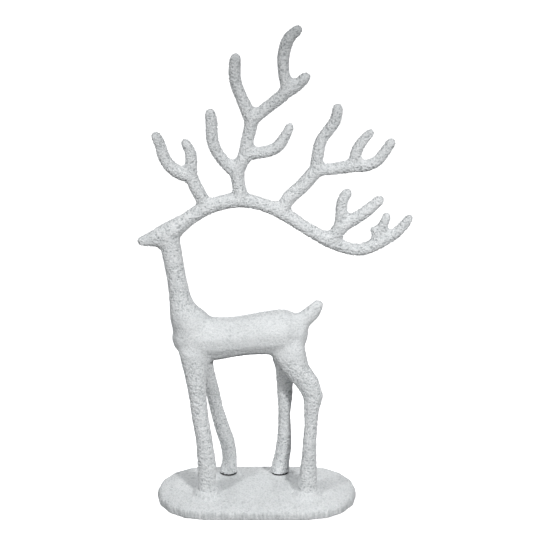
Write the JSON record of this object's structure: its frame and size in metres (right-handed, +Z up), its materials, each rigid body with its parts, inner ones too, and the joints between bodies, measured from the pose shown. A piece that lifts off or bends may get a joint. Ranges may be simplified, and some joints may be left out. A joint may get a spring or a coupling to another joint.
{
  "type": "light up yard reindeer",
  "caption": "Snow-coated standing deer with one wide fan antler that lifts off, on a mounded obround base that holds the cells and the power button of its hidden lights.",
  "frame": {"origin": "on the ground, below the middle of the whole object", "axes": "+Z up, nose towards -X, the deer's left side towards -Y; the antler lies in the plane Y = 0"},
  "size_m": [0.6514, 0.2425, 1.2025],
  "materials": {
    "snow_coat": "opal shell with a rough white snow-fibre coat",
    "grey_plastic": "fine moulded texture",
    "black_plastic": "moulded",
    "black_rubber": "matt",
    "zinc_steel": "zinc plated",
    "nickel": "nickel plated",
    "cell_wrap": "shrink wrap",
    "circuit_board": "solder mask",
    "light_strand": "clear-white cable and LED lenses"
  },
  "bodies": {
    "root": {"base_cover": "snow_coat", "base_plate": "grey_plastic", "foot_pad_1": "black_rubber", "foot_pad_2": "black_rubber", "foot_pad_3": "black_rubber", "foot_pad_4": "black_rubber", "base_screw_1": "zinc_steel", "base_screw_2": "zinc_steel", "base_screw_3": "zinc_steel", "base_screw_4": "zinc_steel", "ballast_plate_front": "zinc_steel", "ballast_plate_rear": "zinc_steel", "front_left_gasket": "black_rubber", "front_right_gasket": "black_rubber", "rear_left_gasket": "black_rubber", "rear_right_gasket": "black_rubber", "front_left_rod_nut": "zinc_steel", "front_right_rod_nut": "zinc_steel", "rear_left_rod_nut": "zinc_steel", "rear_right_rod_nut": "zinc_steel", "battery_box": "black_plastic", "door_hinge_pin": "zinc_steel", "battery_1": "cell_wrap", "battery_2": "cell_wrap", "battery_3": "cell_wrap", "contact_strip_front": "nickel", "contact_strip_rear": "nickel", "control_board": "circuit_board", "body_left_shell": "snow_coat", "body_right_shell": "snow_coat", "front_left_leg": "snow_coat", "front_right_leg": "snow_coat", "rear_left_leg": "snow_coat", "rear_right_leg": "snow_coat", "steel_frame": "zinc_steel", "antler_socket": "grey_plastic", "light_jack": "black_plastic", "body_light_strand": "light_strand"},
    "antler": {"antler_beam": "snow_coat", "brow_branch": "snow_coat", "tall_branch": "snow_coat", "crown_branch": "snow_coat", "palm_branch": "snow_coat", "antler_spigot": "zinc_steel", "antler_plug": "black_plastic", "antler_light_strand": "light_strand"},
    "battery_hatch": {"battery_door": "grey_plastic"},
    "button": {"power_button": "grey_plastic"}
  },
  "joints": [
    {"name": "antler_lift", "type": "slide", "parent": "root", "child": "antler", "axis": [0.7986, 0, 0.6018], "range_m": [0, 0.06]},
    {"name": "battery_door_hinge", "type": "hinge", "parent": "root", "child": "battery_hatch", "pos_m": [-0.081, 0, 0.0055], "axis": [0, 1, 0], "range_deg": [0, 100]},
    {"name": "power_button_press", "type": "slide", "parent": "root", "child": "button", "axis": [0, -1, 0], "range_m": [0, 0.002], "stiffness_N_per_m": 300}
  ]
}
